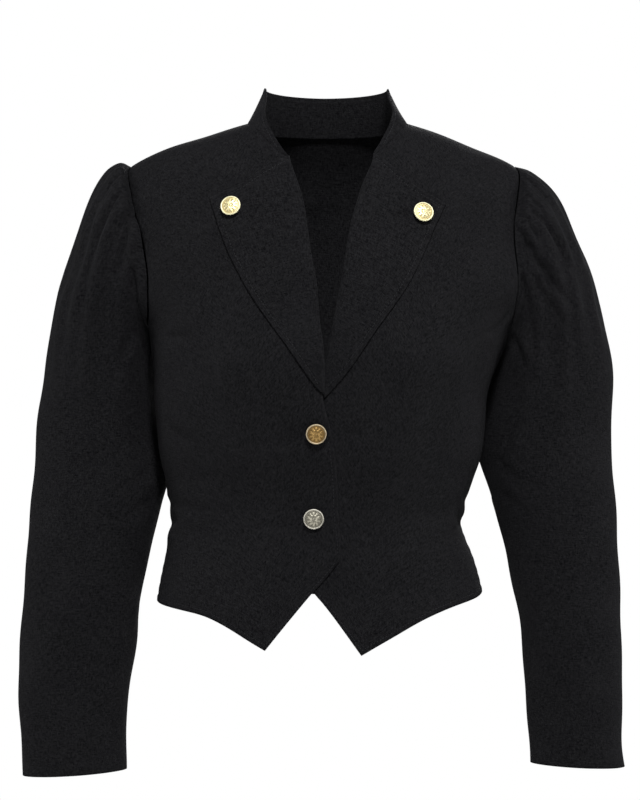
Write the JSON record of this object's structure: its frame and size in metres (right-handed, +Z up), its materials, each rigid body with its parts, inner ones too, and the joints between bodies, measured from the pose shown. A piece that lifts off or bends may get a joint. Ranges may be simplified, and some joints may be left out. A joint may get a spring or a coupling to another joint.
{
  "type": "wool jacket",
  "caption": "Short fitted wool jacket with stand collar, pointed lapels, full gathered sleeves, pointed front hem and domed metal buttons, hollow as worn.",
  "frame": {"origin": "inside the neck opening, level with the neck ends of the shoulder seams, where the wearer's shoulders carry the jacket", "axes": "+Z up, +X to the wearer's left, -Y to the front"},
  "size_m": [0.6031, 0.2521, 0.6843],
  "materials": {
    "wool": "fine midnight blue wool flannel, matt with a soft nap",
    "pale_gold": "polished pale gold plate with a bright rim",
    "antique_gold": "darkened gold plate with a bright rim",
    "antique_silver": "darkened silver plate with a bright rim"
  },
  "bodies": {
    "root": {"front_right": "wool", "front_left": "wool", "back": "wool", "sleeve_right": "wool", "sleeve_left": "wool", "collar": "wool", "lapel_right": "wool", "lapel_left": "wool", "button_lapel_right": "pale_gold", "button_lapel_left": "pale_gold", "button_upper": "antique_gold", "button_lower": "antique_silver"}
  },
  "joints": []
}
